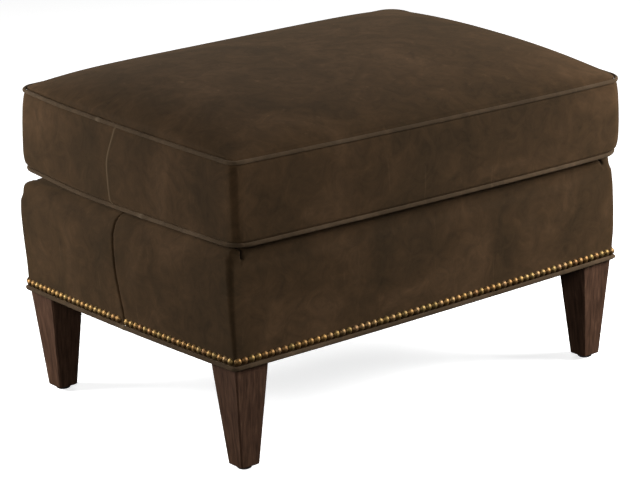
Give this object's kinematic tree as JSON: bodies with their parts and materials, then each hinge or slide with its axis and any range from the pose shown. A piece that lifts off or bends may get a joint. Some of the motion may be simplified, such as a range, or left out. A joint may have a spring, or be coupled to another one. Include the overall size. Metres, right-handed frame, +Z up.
{
  "type": "upholstered footstool",
  "caption": "Leather-covered footstool: box base with nail trim on tapered wooden legs, and a loose boxed cushion that lifts off.",
  "frame": {"origin": "middle of the overall box, on the floor", "axes": "+X along the long side, +Z up, and the front face looks towards -Y"},
  "size_m": [0.75, 0.5474, 0.4842],
  "materials": {
    "brown_leather": "nubuck with mottled nap",
    "leather_welt": "nubuck over cord, rubbed lighter",
    "antique_brass": "antiqued",
    "leg_wood": "dark walnut stain, satin",
    "frame_wood": "raw plywood",
    "zinc_steel": "zinc plated",
    "black_nylon": "matt",
    "black_cloth": "non-woven",
    "deck_cloth": "plain weave",
    "foam": "open-cell foam",
    "fibre_padding": "polyester fibre"
  },
  "bodies": {
    "base": {"front_left_leg": "leg_wood", "front_left_glide": "black_nylon", "front_left_hanger_bolt": "zinc_steel", "front_left_tee_nut": "zinc_steel", "front_right_leg": "leg_wood", "front_right_glide": "black_nylon", "front_right_hanger_bolt": "zinc_steel", "front_right_tee_nut": "zinc_steel", "back_left_leg": "leg_wood", "back_left_glide": "black_nylon", "back_left_hanger_bolt": "zinc_steel", "back_left_tee_nut": "zinc_steel", "back_right_leg": "leg_wood", "back_right_glide": "black_nylon", "back_right_hanger_bolt": "zinc_steel", "back_right_tee_nut": "zinc_steel", "front_rail": "frame_wood", "back_rail": "frame_wood", "left_end_rail": "frame_wood", "right_end_rail": "frame_wood", "centre_stretcher": "frame_wood", "front_left_corner_block": "frame_wood", "front_right_corner_block": "frame_wood", "back_left_corner_block": "frame_wood", "back_right_corner_block": "frame_wood", "sinuous_spring_1": "zinc_steel", "front_spring_clip_1": "zinc_steel", "back_spring_clip_1": "zinc_steel", "sinuous_spring_2": "zinc_steel", "front_spring_clip_2": "zinc_steel", "back_spring_clip_2": "zinc_steel", "sinuous_spring_3": "zinc_steel", "front_spring_clip_3": "zinc_steel", "back_spring_clip_3": "zinc_steel", "spring_cloth": "black_cloth", "front_padding": "fibre_padding", "right_padding": "fibre_padding", "back_padding": "fibre_padding", "left_padding": "fibre_padding", "deck_pad": "foam", "deck_cover": "deck_cloth", "front_cover": "brown_leather", "back_cover": "brown_leather", "base_welt": "leather_welt", "front_nail_trim": "antique_brass", "back_nail_trim": "antique_brass", "dust_cover": "black_cloth"},
    "seat_cushion": {"foam_core": "foam", "top_fibre_layer": "fibre_padding", "bottom_fibre_layer": "fibre_padding", "cushion_top_panel": "brown_leather", "cushion_bottom_panel": "brown_leather", "cushion_front_boxing": "brown_leather", "cushion_back_boxing": "brown_leather", "cushion_top_welt": "leather_welt", "cushion_bottom_welt": "leather_welt", "zip_tape": "black_nylon"},
    "zip_slider": {"zip_slider": "antique_brass"},
    "zip_pull": {"zip_pull": "antique_brass"}
  },
  "joints": [
    {"name": "cushion_lift", "type": "slide", "parent": "base", "child": "seat_cushion", "axis": [0, 0, 1], "range_m": [0, 0.25]},
    {"name": "zip_slide", "type": "slide", "parent": "seat_cushion", "child": "zip_slider", "axis": [-1, 0, 0], "range_m": [0, 0.52]},
    {"name": "pull_swing", "type": "hinge", "parent": "zip_slider", "child": "zip_pull", "pos_m": [0.263, 0.2733, 0.39], "axis": [1, 0, 0], "range_deg": [0, 150]}
  ]
}
